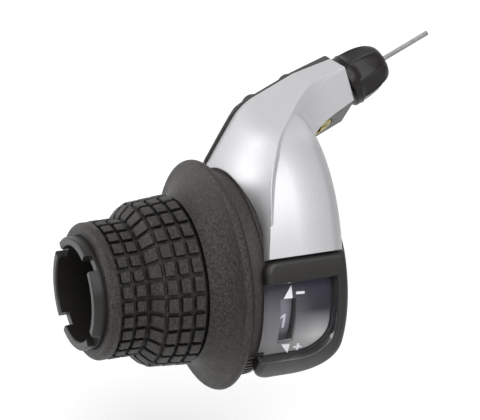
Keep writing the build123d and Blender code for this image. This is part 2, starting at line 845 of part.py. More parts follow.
with BuildPart() as retainer_ring:
    with BuildSketch(Plane.YZ.offset(retainer_x)):
        Circle(cup_bore - 0.05)
        Circle(sleeve_radius + 0.6, mode=Mode.SUBTRACT)
    extrude(amount=retainer_thickness)
retainer_ring.part.label = "retainer_ring"
export_step(retainer_ring.part, "parts/retainer_ring.step")

with BuildPart() as adjuster_insert:
    add(arm_rod(-insert_length, 0, insert_radius))
    chamfer(adjuster_insert.edges().filter_by(GeomType.CIRCLE), 0.3)
    add(arm_rod(-stem_inside - 1, 1.0, stem_radius + 0.08), mode=Mode.SUBTRACT)
adjuster_insert.part.label = "adjuster_insert"
export_step(adjuster_insert.part, "parts/adjuster_insert.step")

with BuildPart() as twist_sleeve:
    groove_floor = pitch_radius - wire_radius
    groove_left = drum_x - groove_width / 2
    groove_right = drum_x + groove_width / 2
    add(
        turned(
            [
                (sleeve_tip_x, sleeve_bore + tip_chamfer),
                (sleeve_tip_x, sleeve_radius - tip_chamfer),
                (sleeve_tip_x + tip_chamfer, sleeve_radius),
                (detent_x, sleeve_radius),
                (detent_x, detent_radius),
                (detent_x + detent_width, detent_radius),
                (detent_x + detent_width, seat_radius),
                (groove_left - drum_flange_width, seat_radius),
                (groove_left - drum_flange_width, drum_flange_radius),
                (groove_left, drum_flange_radius),
                (groove_left, groove_floor),
                (groove_right, groove_floor),
                (groove_right, drum_flange_radius),
                (groove_right + drum_flange_width, drum_flange_radius),
                (groove_right + drum_flange_width, seat_radius),
                (drum_end_x, seat_radius),
                (drum_end_x, sleeve_bore),
                (sleeve_tip_x + tip_chamfer, sleeve_bore),
            ]
        )
    )
    # Notches of the tip
    for index in range(tip_notches):
        middle = tip_notch_first + index * 360.0 / tip_notches
        half = tip_notch_angle / 2
        add(
            sector(
                sleeve_tip_x - 1,
                sleeve_tip_x + tip_notch_depth,
                sleeve_bore - 3,
                sleeve_radius + 1,
                middle + half,
                middle - half,
            ),
            mode=Mode.SUBTRACT,
        )
    # Drive ribs under the rubber, key for the number ring, stop lug
    for index in range(sleeve_ribs):
        turn = index * 360.0 / sleeve_ribs
        half = degrees(sleeve_rib_width / 2 / sleeve_radius)
        add(
            sector(
                tread_start_x,
                tread_end_x,
                sleeve_radius - 0.5,
                sleeve_radius + sleeve_rib_height,
                turn + half,
                turn - half,
            )
        )
    add(
        sector(
            ring_x,
            ring_x + ring_width,
            seat_radius - 0.5,
            seat_radius + key_height,
            90 + key_half_angle,
            90 - key_half_angle,
        )
    )
    add(
        sector(
            detent_x + 0.2,
            detent_x + detent_width - 0.2,
            detent_radius - 0.5,
            lug_outer_radius,
            lug_top_angle,
            lug_low_angle,
        )
    )
    # Detent notches and the nipple pocket
    for index in range(gear_steps + 1):
        angle = radians(index * gear_step - 90)
        with BuildSketch(Plane.YZ.offset(detent_x - 1)):
            with Locations((-(detent_radius + 0.4) * cos(angle), (detent_radius + 0.4) * sin(angle))):
                Circle(detent_depth + 0.4)
        extrude(amount=detent_width + 2, mode=Mode.SUBTRACT)
    hold = radians(nipple_angle)
    nipple_plane = Plane(
        origin=(drum_x, pitch_radius * cos(hold), pitch_radius * sin(hold)),
        x_dir=(1, 0, 0),
        z_dir=(0, -sin(hold), cos(hold)),
    )
    with BuildSketch(nipple_plane.offset(-nipple_length / 2 - 0.1)):
        Circle(nipple_radius + 0.1)
    extrude(amount=nipple_length + 0.2, mode=Mode.SUBTRACT)
twist_sleeve.part.label = "twist_sleeve"
export_step(twist_sleeve.part, "parts/twist_sleeve.step")

with BuildPart() as cable_nipple:
    with BuildSketch(nipple_plane.offset(-nipple_length / 2)):
        Circle(nipple_radius)
    extrude(amount=nipple_length)
cable_nipple.part.label = "cable_nipple"
export_step(cable_nipple.part, "parts/cable_nipple.step")

with BuildPart() as number_ring:
    hub = seat_radius + 0.1
    web_left = ring_x + ring_width / 2 - ring_web / 2
    web_right = web_left + ring_web
    add(
        turned(
            [
                (ring_x, hub),
                (ring_x, hub + ring_hub_wall),
                (web_left, hub + ring_hub_wall),
                (web_left, ring_radius - ring_wall),
                (ring_x, ring_radius - ring_wall),
                (ring_x, ring_radius),
                (ring_x + ring_width, ring_radius),
                (ring_x + ring_width, ring_radius - ring_wall),
                (web_right, ring_radius - ring_wall),
                (web_right, hub + ring_hub_wall),
                (ring_x + ring_width, hub + ring_hub_wall),
                (ring_x + ring_width, hub),
            ]
        )
    )
    key_top = 90 + key_half_angle + 0.5
    key_low = 90 - key_half_angle - 0.5
    add(
        sector(ring_x - 1, ring_x + ring_width + 1, hub - 1, seat_radius + key_height + seat_gap, key_top, key_low),
        mode=Mode.SUBTRACT,
    )
number_ring.part.label = "number_ring"
export_step(number_ring.part, "parts/number_ring.step")


def tread_radius(x):
    """The outside of the tread: a narrow end, a step up, then a slow widening."""
    if x < rise_x:
        return grip_small_radius
    if x < full_x:
        return grip_small_radius + (x - rise_x) / tread_pitch * (grip_rise_radius - grip_small_radius)
    share = (x - full_x) / (tread_end_x - full_x)
    return grip_rise_radius + share * (grip_large_radius - grip_rise_radius)


# Tread blocks: rings cut into rows
with BuildPart() as tread:
    for column in range(tread_columns):
        left = tread_start_x + column * tread_pitch + column_groove / 2
        right = left + tread_pitch - column_groove
        add(
            turned(
                [
                    (left, tread_radius(left) - tread_depth - 0.3),
                    (left, tread_radius(left) - block_edge),
                    (left + block_edge, tread_radius(left + block_edge)),
                    (right - block_edge, tread_radius(right - block_edge)),
                    (right, tread_radius(right) - block_edge),
                    (right, tread_radius(right) - tread_depth - 0.3),
                ]
            )
        )
    for row in range(tread_rows):
        turn = tread_turn + row * 360.0 / tread_rows
        across = (0, cos(radians(turn)), sin(radians(turn)))
        with BuildSketch(Plane(origin=(tread_start_x - 1, 0, 0), x_dir=across, z_dir=(1, 0, 0))):
            with Locations((grip_large_radius, 0)):
                Rectangle(grip_large_radius, row_groove)
        extrude(amount=tread_end_x - tread_start_x + 2, mode=Mode.SUBTRACT)

with BuildPart() as grip_rubber:
    inner = sleeve_radius + rubber_gap
    small = grip_small_radius - tread_depth
    rim_left = rim_back_x - rim_width
    # Core up to the floor of the tread, with the rounded tip, the bell and its hollow back
    with BuildSketch(Plane.XZ):
        with BuildLine():
            Polyline((0, inner), (rubber_tip_x, inner), (rubber_tip_x, rubber_tip_radius))
            tip = ThreePointArc(
                (rubber_tip_x, rubber_tip_radius),
                (rubber_tip_x + 0.55, rubber_tip_radius + 0.75),
                (rubber_tip_x + 1.6, grip_small_radius - 0.1),
            )
            Polyline(
                tip @ 1,
                (tread_start_x - column_groove / 2, grip_small_radius - 0.1),
                (tread_start_x - column_groove / 2, small),
                (rise_x, small),
                (full_x, grip_rise_radius - tread_depth),
                (tread_end_x, grip_large_radius - tread_depth),
                (bell_start_x, bell_radius - tread_depth),
                (bell_start_x, bell_radius),
            )
            flare = ThreePointArc(
                (bell_start_x, bell_radius),
                (rim_left - 1.5, bell_radius + 2.6),
                (rim_left, rim_radius - 0.9),
            )
            nose = ThreePointArc(
                flare @ 1,
                (rim_left + rim_width / 2, rim_radius),
                (rim_back_x - 0.3, rim_radius - 0.6),
            )
            Polyline(
                nose @ 1,
                (rim_back_x, rim_radius - 1.1),
                (rim_back_x, rim_radius - 2.3),
                (rim_back_x - rim_hollow, rim_radius - 2.6),
                (rim_left - rim_hollow, bell_radius + 2.1),
                (bell_start_x + 2, bell_radius - 0.4),
                (bell_start_x + 2, inner + hub_wall),
                (0, inner + hub_wall),
                (0, inner),
            )
        make_face()
    revolve(axis=Axis.X)
    add(tread.part)
    # Channels for the drive ribs of the sleeve
    for index in range(sleeve_ribs):
        turn = index * 360.0 / sleeve_ribs
        half = degrees((sleeve_rib_width / 2 + 0.12) / sleeve_radius)
        add(
            sector(
                tread_start_x - 0.2,
                tread_end_x + 0.2,
                inner - 1,
                sleeve_radius + sleeve_rib_height + 0.12,
                turn + half,
                turn - half,
            ),
            mode=Mode.SUBTRACT,
        )
grip_rubber.part.label = "grip_rubber"
export_step(grip_rubber.part, "parts/grip_rubber.step")

with BuildPart() as shift_cable:
    add(arm_rod(bend_tangent - arm_run + 0.02, wire_tail, wire_radius))
shift_cable.part.label = "shift_cable"
export_step(shift_cable.part, "parts/shift_cable.step")

with BuildPart() as adjuster_knob:
    with BuildSketch(Plane(origin=arm_point(0, 0, 0), x_dir=along_arm, z_dir=(0, -1, 0))):
        with BuildLine():
            Polyline(
                (knob_gap, click_radius + 0.4),
                (knob_gap, knob_radius - 0.4),
                (knob_gap + 0.3, knob_radius - 0.15),
                (knob_gap + 1.5, knob_radius - 0.15),
                (knob_gap + 1.9, knob_radius),
                (knob_gap + 4.4, knob_radius),
                (knob_tip - knob_nose, knob_nose_radius),
            )
            nose = ThreePointArc(
                (knob_tip - knob_nose, knob_nose_radius),
                (knob_tip - knob_nose * 0.3, (knob_nose_radius + knob_tip_radius) / 2 + 0.35),
                (knob_tip, knob_tip_radius),
            )
            Polyline(
                nose @ 1,
                (knob_tip, casing_radius),
                (knob_tip - casing_depth, casing_radius),
                (knob_tip - casing_depth, stem_radius + 0.03),
                (knob_pocket, stem_radius + 0.03),
                (knob_pocket, click_radius + 0.4),
                (knob_gap, click_radius + 0.4),
            )
        make_face()
    revolve(axis=Axis(arm_point(0, 0, 0), along_arm))
    # Grooves between the lobes
    for index in range(knob_lobes):
        turn = radians(index * 360.0 / knob_lobes + 11.0)
        across = Vector(0, -cos(turn), 0) + Vector(*above_arm) * sin(turn)
        with BuildSketch(Plane(origin=arm_point(0, 0, 0), x_dir=along_arm, z_dir=across)):
            with BuildLine():
                Polyline(
                    (knob_gap + 1.8, knob_radius - 0.6),
                    (knob_tip - knob_nose / 2, knob_nose_radius - 1.0),
                    (knob_tip - knob_nose / 3, knob_nose_radius),
                    (knob_gap + 1.8, knob_radius + 1.0),
                    close=True,
                )
            make_face()
        extrude(amount=lobe_groove / 2, both=True, mode=Mode.SUBTRACT)
adjuster_knob.part.label = "adjuster_knob"
export_step(adjuster_knob.part, "parts/adjuster_knob.step")

with BuildPart() as adjuster_stem:
    add(arm_rod(-stem_inside, knob_tip - casing_depth, stem_radius))
    add(arm_rod(-stem_inside - 1, knob_tip, stem_bore), mode=Mode.SUBTRACT)
adjuster_stem.part.label = "adjuster_stem"
export_step(adjuster_stem.part, "parts/adjuster_stem.step")

with BuildPart() as click_sleeve:
    add(arm_rod(knob_pocket - 0.1 - click_length, knob_pocket - 0.1, click_radius))
    add(arm_rod(0, knob_pocket + 1, stem_radius + 0.15), mode=Mode.SUBTRACT)
click_sleeve.part.label = "click_sleeve"
export_step(click_sleeve.part, "parts/click_sleeve.step")

with BuildPart() as adjuster_spring:
    spring_start = 0.1 + spring_wire / 2
    spring_room = knob_pocket - 0.2 - click_length - spring_wire - 0.2
    with BuildLine() as coil:
        Helix(
            pitch=spring_room / spring_turns,
            height=spring_room,
            radius=(click_radius + stem_radius) / 2 + 0.1,
            center=arm_point(spring_start, 0, 0),
            direction=along_arm,
        )
    with BuildSketch(Plane(origin=coil.line @ 0, z_dir=coil.line % 0)):
        Rectangle(spring_wire, spring_wire)
    sweep(path=coil.line, is_frenet=True)
adjuster_spring.part.label = "adjuster_spring"
export_step(adjuster_spring.part, "parts/adjuster_spring.step")
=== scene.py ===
from math import ceil, cos, degrees, pi, radians, sin

import bmesh
import bpy
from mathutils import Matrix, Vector


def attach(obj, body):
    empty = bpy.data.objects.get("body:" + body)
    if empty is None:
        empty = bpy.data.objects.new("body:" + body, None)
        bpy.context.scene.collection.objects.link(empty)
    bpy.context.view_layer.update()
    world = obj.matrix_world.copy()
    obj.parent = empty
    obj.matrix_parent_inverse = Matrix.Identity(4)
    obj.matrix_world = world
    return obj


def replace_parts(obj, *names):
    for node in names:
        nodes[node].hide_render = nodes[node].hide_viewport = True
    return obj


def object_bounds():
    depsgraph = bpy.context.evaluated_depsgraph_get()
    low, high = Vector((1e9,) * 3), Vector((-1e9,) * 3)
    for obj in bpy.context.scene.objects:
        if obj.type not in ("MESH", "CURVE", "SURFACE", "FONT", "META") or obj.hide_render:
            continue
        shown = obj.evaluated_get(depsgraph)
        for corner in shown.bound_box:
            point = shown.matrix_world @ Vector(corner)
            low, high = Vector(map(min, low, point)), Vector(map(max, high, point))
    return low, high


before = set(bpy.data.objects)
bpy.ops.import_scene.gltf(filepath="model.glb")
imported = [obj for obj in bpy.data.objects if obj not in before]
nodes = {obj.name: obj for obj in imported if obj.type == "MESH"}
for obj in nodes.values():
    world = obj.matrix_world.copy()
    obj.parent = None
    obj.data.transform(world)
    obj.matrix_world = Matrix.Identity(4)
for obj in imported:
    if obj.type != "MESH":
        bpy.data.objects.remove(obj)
cad_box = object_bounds()

# X runs along the bar to the right, Y to the back and Z up.
# Shapes and the view are in millimetres and degrees, materials, floor and lamps in metres.
MM = 0.001

# Viewing angle and distance of the photograph
VIEW_AZIMUTH = 24.0
VIEW_ELEVATION = 18.3
VIEW_DISTANCE = 791.0
VIEW_WIDTH = 111.63
VIEW_CENTRE = (7.91, 15.0)
SENSOR_WIDTH = 36.0

# Window and number ring, as the solids have them
LENS_START_X = 3.6
LENS_END_X = 20.9
LENS_INNER_RADIUS = 24.6
LENS_TOP_ANGLE = 11.1
LENS_LOW_ANGLE = -33.3
LENS_CORNER = 7.9
APERTURE = (7.5, 11.5, 2.0, -24.0)
NUMBER_RADIUS = 20.75
NUMBER_X = 10.4
FIRST_NUMBER_ANGLE = -17.5
GEAR_STEP = 30.0

# Prints behind the lens: thickness, height of each layer over the lens's back, and outline
PRINT_THICKNESS = 0.02
EDGE_LIFT = 0.01
PICTURE_LIFT = 0.04
SIGN_LIFT = 0.07
PRINT_GAP = 0.12
PICTURE_INSET = 0.9
PICTURE_CORNER = 7.4
CORNER_STEPS = 10
CURVE_STEP = 0.5

# Arrows, minus and plus, as outlines of X and height angle
SIGNS = {
    "sign_up": [[(10.28, 9.0), (8.26, 2.3), (10.55, 2.1)]],
    "sign_minus": [[(11.43, 5.2), (11.43, 3.8), (13.54, 3.5), (13.54, 4.9)]],
    "sign_down": [[(8.70, -25.2), (10.90, -25.8), (10.90, -32.6)]],
    "sign_plus": [
        [(12.04, -28.0), (12.04, -29.2), (14.15, -29.6), (14.15, -28.4)],
        [(12.75, -26.2), (13.36, -26.3), (13.45, -28.27), (12.84, -28.15)],
        [(12.90, -29.37), (13.45, -29.47), (13.45, -31.3), (12.84, -31.2)],
    ],
}

# Numerals as strokes on a grid one wide and two high
NUMERAL_WIDTH = 1.75
NUMERAL_HEIGHT = 3.8
NUMERALS = {
    "1": [
        [(0.40, 0.0), (0.75, 0.0), (0.75, 2.0), (0.40, 2.0)],
        [(0.05, 1.35), (0.40, 1.62), (0.40, 2.0), (0.05, 1.68)],
    ],
    "2": [
        [(0.0, 0.0), (1.0, 0.0), (1.0, 0.32), (0.0, 0.32)],
        [(0.0, 0.32), (0.42, 0.32), (1.0, 1.15), (0.66, 1.25)],
        [(0.66, 1.25), (1.0, 1.15), (1.0, 1.70), (0.66, 1.66)],
        [(0.30, 1.68), (0.66, 1.66), (1.0, 1.70), (0.75, 2.0), (0.25, 2.0), (0.0, 1.70)],
        [(0.0, 1.40), (0.32, 1.40), (0.30, 1.68), (0.0, 1.70)],
    ],
    "3": [
        [(0.0, 0.55), (0.32, 0.55), (0.34, 0.33), (0.0, 0.30)],
        [(0.0, 0.30), (0.34, 0.33), (0.66, 0.33), (1.0, 0.30), (0.75, 0.0), (0.25, 0.0)],
        [(0.66, 0.33), (0.66, 0.86), (0.82, 1.02), (1.0, 0.84), (1.0, 0.30)],
        [(0.35, 0.86), (0.66, 0.86), (0.82, 1.02), (0.66, 1.18), (0.35, 1.18)],
        [(0.66, 1.18), (0.82, 1.02), (1.0, 1.20), (1.0, 1.70), (0.66, 1.67)],
        [(0.34, 1.67), (0.66, 1.67), (1.0, 1.70), (0.75, 2.0), (0.25, 2.0), (0.0, 1.70)],
        [(0.0, 1.45), (0.32, 1.45), (0.34, 1.67), (0.0, 1.70)],
    ],
}

# Straight wire along the arm, measured from the arm's end, as the solids have it
ARM_ANGLE = 24.0
ARM_END = (41.123, 14.0, 37.503)
WIRE_START = -21.8
WIRE_END = 24.8
STRANDS = 12
STRAND_RADIUS = 0.12
STRAND_CIRCLE = 0.47
STRAND_LAY = 9.0
STRAND_SIDES = 8
STEPS_PER_LAY = 20
CORE_RADIUS = 0.42

# Flutes of the adjuster knob: a power below one makes them wide and the ridges narrow
KNOB_FLUTES = 8
KNOB_TURN = -10.0
FLUTE_STEPS = 24
FLUTE_POWER = 0.6
SHARP_EDGE = 25.0

# Profile of the knob: distance from the arm's end, radius and depth of the flutes
KNOB_OUTSIDE = [
    (0.45, 6.0, 0.0),
    (0.75, 6.25, 0.0),
    (1.95, 6.25, 0.0),
    (2.3, 6.4, 0.0),
    (2.7, 6.4, 0.25),
    (3.2, 6.38, 0.55),
    (4.2, 6.34, 0.65),
    (5.4, 6.22, 0.65),
    (6.6, 6.05, 0.65),
    (7.7, 5.8, 0.6),
    (8.6, 5.5, 0.5),
    (9.4, 5.15, 0.3),
    (10.1, 4.75, 0.12),
    (10.7, 4.3, 0.0),
    (11.15, 3.85, 0.0),
    (11.45, 3.3, 0.0),
]
KNOB_INSIDE = [
    (11.45, 2.6, 0.0),
    (6.85, 2.6, 0.0),
    (6.85, 2.48, 0.0),
    (5.55, 2.48, 0.0),
    (5.55, 4.5, 0.0),
    (0.45, 4.5, 0.0),
]

# Edges and grain of the mouldings: range of the speckle, gloss patches, strength of the two bumps
BEVEL_SAMPLES = 6
SPECKLE_LOW = 0.36
SPECKLE_HIGH = 0.64
GLOSS_SCALE = 400.0
PEBBLE_SHARE = 0.8
SPECKLE_SHARE = 0.6

# Silver paint: flakes, and where the front turns to its right side
FLAKE_SCALE = 9000.0
FLAKE_DEPTH = 0.000004
FLAKE_SHARE = 0.4
SILVER_DARK = (0.44, 0.44, 0.455)
SILVER_LIGHT = (0.56, 0.56, 0.575)
SILVER_ROUGHNESS = (0.40, 0.52)
SILVER_METALLIC = 0.65
SILVER_EDGE = 0.0003
TURN_ACROSS = (0.0125, 0.0245)
TURN_FRONT = (-0.014, -0.010)
TURN_DEPTH = 0.004

# Metals: size of stains, gloss patches and fine marks
STAIN_SCALE = 700.0
METAL_GLOSS_SCALE = 1500.0
MARK_SCALE = 4000.0
MARK_DEPTH = 0.000006
MARK_SHARE = 0.5
METAL_EDGE = 0.00012

# Stops of the patchy colours of paint and metal, and of ink
PATCH_STOPS = (0.3, 0.7)
INK_STOPS = (0.2, 0.8)
INK_SHADE = 0.92

# Grey print behind the lens, with painted reflection and shade in its tones: their reach in height and
# across, and the tones from the bottom up
PAINTED_REFLECTION_HEIGHT = (-0.0135, 0.0047)
PAINTED_REFLECTION_ACROSS = (0.009, 0.017)
PRINT_AND_REFLECTION_LEFT = [
    (0.0, (0.17, 0.165, 0.16)),
    (0.30, (0.16, 0.155, 0.155)),
    (0.62, (0.11, 0.108, 0.115)),
    (0.86, (0.05, 0.047, 0.056)),
    (1.0, (0.025, 0.023, 0.032)),
]
PRINT_AND_REFLECTION_RIGHT = [
    (0.0, (0.26, 0.255, 0.25)),
    (0.24, (0.42, 0.42, 0.41)),
    (0.46, (0.17, 0.17, 0.173)),
    (0.60, (0.024, 0.022, 0.029)),
    (1.0, (0.028, 0.026, 0.038)),
]

# Studio: world as light on the object, and the floor's place and glow
WORLD_LIGHT = 0.15
FLOOR_SIZE = 6.0
FLOOR_DROP = 0.03
FLOOR_GLOW = (0.3, 0.55)
FLOOR_GLOW_REACH = (0.16, 0.34)

# Colour sockets of the mix node
MIX_FIRST = 6
MIX_SECOND = 7
MIX_RESULT = 2


# Node helpers


def start_material(name):
    """A new material with its shader, and the tree they are in."""
    material = bpy.data.materials.new(name)
    material.use_nodes = True
    tree = material.node_tree
    shader = tree.nodes["Principled BSDF"]
    return material, tree, shader


def add_node(tree, kind, **values):
    """A node of that kind with its inputs set by name."""
    node = tree.nodes.new(kind)
    for key, value in values.items():
        node.inputs[key.replace("_", " ")].default_value = value
    return node


def object_coordinates(tree):
    """Place on the object, in metres."""
    return tree.nodes.new("ShaderNodeTexCoord").outputs["Object"]


def object_axes(tree):
    """Place on the object as separate X, Y and Z."""
    node = tree.nodes.new("ShaderNodeSeparateXYZ")
    tree.links.new(object_coordinates(tree), node.inputs["Vector"])
    return node.outputs


def noise(tree, scale, detail=2.0, roughness=0.5):
    """Noise with that many features per metre."""
    texture = add_node(tree, "ShaderNodeTexNoise", Scale=scale, Detail=detail, Roughness=roughness)
    tree.links.new(object_coordinates(tree), texture.inputs["Vector"])
    return texture.outputs["Fac"]


def pebbles(tree, scale):
    """Small rounded cells, as on a spark-eroded mould."""
    texture = add_node(tree, "ShaderNodeTexVoronoi", Scale=scale)
    tree.links.new(object_coordinates(tree), texture.inputs["Vector"])
    return texture.outputs["Distance"]


def ramp(tree, source, stops):
    """A colour ramp from pairs of position and colour."""
    node = tree.nodes.new("ShaderNodeValToRGB")
    while len(node.color_ramp.elements) < len(stops):
        node.color_ramp.elements.new(0.5)
    for element, (position, colour) in zip(node.color_ramp.elements, stops):
        element.position = position
        element.color = (*colour, 1.0)
    tree.links.new(source, node.inputs["Fac"])
    return node.outputs["Color"]


def span(tree, source, low, high, from_low=0.0, from_high=1.0):
    """The source stretched from one range to another."""
    node = tree.nodes.new("ShaderNodeMapRange")
    node.inputs["From Min"].default_value = from_low
    node.inputs["From Max"].default_value = from_high
    node.inputs["To Min"].default_value = low
    node.inputs["To Max"].default_value = high
    tree.links.new(source, node.inputs["Value"])
    return node.outputs["Result"]


def combine(tree, operation, first, second):
    """Two values joined by a math operation."""
    node = tree.nodes.new("ShaderNodeMath")
    node.operation = operation
    tree.links.new(first, node.inputs[0])
    tree.links.new(second, node.inputs[1])
    return node.outputs[0]


def soft_edges(tree, radius):
    """Normals rounded over the edges, for the small radius every moulded edge has."""
    node = add_node(tree, "ShaderNodeBevel", Radius=radius)
    node.samples = BEVEL_SAMPLES
    return node.outputs["Normal"]


def bump(tree, height, depth, before, strength=1.0):
    """A bump of that depth in metres, laid over an earlier normal."""
    node = add_node(tree, "ShaderNodeBump", Strength=strength, Distance=depth)
    tree.links.new(height, node.inputs["Height"])
    tree.links.new(before, node.inputs["Normal"])
    return node.outputs["Normal"]


def seen_rays(tree):
    """One for rays of the camera and for reflected and refracted ones, else zero."""
    path = tree.nodes.new("ShaderNodeLightPath")
    total = path.outputs["Is Camera Ray"]
    for kind in ("Is Glossy Ray", "Is Transmission Ray"):
        total = combine(tree, "MAXIMUM", total, path.outputs[kind])
    return total


# Materials


def moulding(name, dark, light, roughness, edge, grain, depth, specular, groove_shade_reach=0.0):
    """Grained plastic or rubber: speckled, with uneven gloss and soft edges, darker in grooves by
    painted shade.
    """
    material, tree, shader = start_material(name)
    speckle = noise(tree, grain / 2, detail=3.0, roughness=0.7)
    colour = ramp(tree, speckle, [(SPECKLE_LOW, dark), (SPECKLE_HIGH, light)])
    # Painted shade: ambient occlusion darkens the colour in grooves and corners, within this reach.
    if groove_shade_reach:
        groove_shade = add_node(tree, "ShaderNodeAmbientOcclusion", Distance=groove_shade_reach)
        tree.links.new(colour, groove_shade.inputs["Color"])
        colour = groove_shade.outputs["Color"]
    tree.links.new(colour, shader.inputs["Base Color"])
    gloss = noise(tree, GLOSS_SCALE, detail=3.0)
    tree.links.new(span(tree, gloss, *roughness), shader.inputs["Roughness"])
    skin = bump(tree, pebbles(tree, grain), depth, soft_edges(tree, edge), PEBBLE_SHARE)
    skin = bump(tree, noise(tree, grain / 2), depth, skin, SPECKLE_SHARE)
    tree.links.new(skin, shader.inputs["Normal"])
    shader.inputs["Specular IOR Level"].default_value = specular
    return material


def silver_paint():
    """Satin silver flake paint; a shallow bump widens the soft turn at the front's right side."""
    material, tree, shader = start_material("silver_paint")
    flake = noise(tree, FLAKE_SCALE, detail=1.0)
    colour = ramp(tree, flake, list(zip(PATCH_STOPS, (SILVER_DARK, SILVER_LIGHT))))
    tree.links.new(colour, shader.inputs["Base Color"])
    tree.links.new(span(tree, flake, *SILVER_ROUGHNESS), shader.inputs["Roughness"])
    place = object_axes(tree)
    across = span(tree, place["X"], 0.0, 1.0, *TURN_ACROSS)
    fall = span(tree, combine(tree, "MULTIPLY", across, across), 1.0, 0.0)
    skin = bump(tree, fall, TURN_DEPTH, soft_edges(tree, SILVER_EDGE))
    front = span(tree, place["Y"], 1.0, 0.0, *TURN_FRONT)
    tree.links.new(front, skin.node.inputs["Strength"])
    skin = bump(tree, flake, FLAKE_DEPTH, skin, FLAKE_SHARE)
    tree.links.new(skin, shader.inputs["Normal"])
    shader.inputs["Metallic"].default_value = SILVER_METALLIC
    return material


def metal(name, dark, light, roughness):
    """Bright or plated metal with stains and fine marks."""
    material, tree, shader = start_material(name)
    stains = noise(tree, STAIN_SCALE, detail=4.0)
    colour = ramp(tree, stains, list(zip(PATCH_STOPS, (dark, light))))
    tree.links.new(colour, shader.inputs["Base Color"])
    gloss = noise(tree, METAL_GLOSS_SCALE, detail=3.0)
    tree.links.new(span(tree, gloss, *roughness), shader.inputs["Roughness"])
    marks = noise(tree, MARK_SCALE)
    skin = bump(tree, marks, MARK_DEPTH, soft_edges(tree, METAL_EDGE), MARK_SHARE)
    tree.links.new(skin, shader.inputs["Normal"])
    shader.inputs["Metallic"].default_value = 1.0
    return material


def clear_plastic():
    """Polished clear plastic with a slight violet cast."""
    material, tree, shader = start_material("clear_plastic")
    smears = noise(tree, scale=300.0, detail=4.0)
    tree.links.new(span(tree, smears, low=0.0, high=0.04), shader.inputs["Roughness"])
    tree.links.new(soft_edges(tree, radius=0.0004), shader.inputs["Normal"])
    shader.inputs["Base Color"].default_value = (0.95, 0.95, 0.99, 1.0)
    shader.inputs["Transmission Weight"].default_value = 1.0
    shader.inputs["IOR"].default_value = 1.2
    return material


def window_print_and_reflection():
    """Print behind the lens, its tones partly painted reflection and shade: violet black above, mid
    grey at the left, light grey low on the right.
    """
    material, tree, shader = start_material("window_print_and_reflection")
    # Painted reflection and shade: the print's tone follows height and place across, dark above and
    # light low on the right.
    place = object_axes(tree)
    height = span(tree, place["Z"], 0.0, 1.0, *PAINTED_REFLECTION_HEIGHT)
    across = span(tree, place["X"], 0.0, 1.0, *PAINTED_REFLECTION_ACROSS)
    blend = tree.nodes.new("ShaderNodeMix")
    blend.data_type = "RGBA"
    tree.links.new(across, blend.inputs["Factor"])
    tree.links.new(ramp(tree, height, PRINT_AND_REFLECTION_LEFT), blend.inputs[MIX_FIRST])
    tree.links.new(ramp(tree, height, PRINT_AND_REFLECTION_RIGHT), blend.inputs[MIX_SECOND])
    tree.links.new(blend.outputs[MIX_RESULT], shader.inputs["Base Color"])
    gloss = noise(tree, scale=900.0)
    tree.links.new(span(tree, gloss, low=0.5, high=0.65), shader.inputs["Roughness"])
    shader.inputs["Specular IOR Level"].default_value = 0.05
    return material


def ink(name, colour):
    """Opaque print with a slightly uneven tone."""
    material, tree, shader = start_material(name)
    darker = tuple(INK_SHADE * channel for channel in colour)
    tone = ramp(tree, noise(tree, scale=1500.0), list(zip(INK_STOPS, (darker, colour))))
    tree.links.new(tone, shader.inputs["Base Color"])
    gloss = noise(tree, scale=2500.0)
    tree.links.new(span(tree, gloss, low=0.45, high=0.6), shader.inputs["Roughness"])
    shader.inputs["Specular IOR Level"].default_value = 0.1
    return material


RUBBER = moulding(
    "grip_rubber",
    dark=(0.0045, 0.0040, 0.0035),
    light=(0.043, 0.0385, 0.0345),
    roughness=(0.36, 0.52),
    edge=0.0003,
    grain=3600.0,
    depth=0.00018,
    specular=0.23,
    # painted shade in the tread's grooves reaches this far
    groove_shade_reach=0.003,
)
BLACK = moulding(
    "black_moulding",
    dark=(0.030, 0.027, 0.0245),
    light=(0.056, 0.051, 0.047),
    roughness=(0.4, 0.55),
    edge=0.0003,
    grain=3600.0,
    depth=0.00003,
    specular=0.16,
)
SMOOTH = moulding(
    "smooth_moulding",
    dark=(0.013, 0.012, 0.011),
    light=(0.018, 0.017, 0.016),
    roughness=(0.27, 0.37),
    edge=0.0003,
    grain=4200.0,
    depth=0.00001,
    specular=0.26,
)
GREY = moulding(
    "grey_moulding",
    dark=(0.055, 0.054, 0.053),
    light=(0.070, 0.069, 0.067),
    roughness=(0.35, 0.5),
    edge=0.0003,
    grain=4200.0,
    depth=0.00001,
    specular=0.3,
)
KNOB = moulding(
    "knob_moulding",
    dark=(0.006, 0.005, 0.0045),
    light=(0.011, 0.0095, 0.0085),
    roughness=(0.2, 0.28),
    edge=0.00025,
    grain=4200.0,
    depth=0.00001,
    specular=0.2,
)
WHITE = moulding(
    "white_moulding",
    dark=(0.72, 0.72, 0.70),
    light=(0.80, 0.80, 0.78),
    roughness=(0.4, 0.55),
    edge=0.0002,
    grain=4200.0,
    depth=0.00001,
    specular=0.4,
)
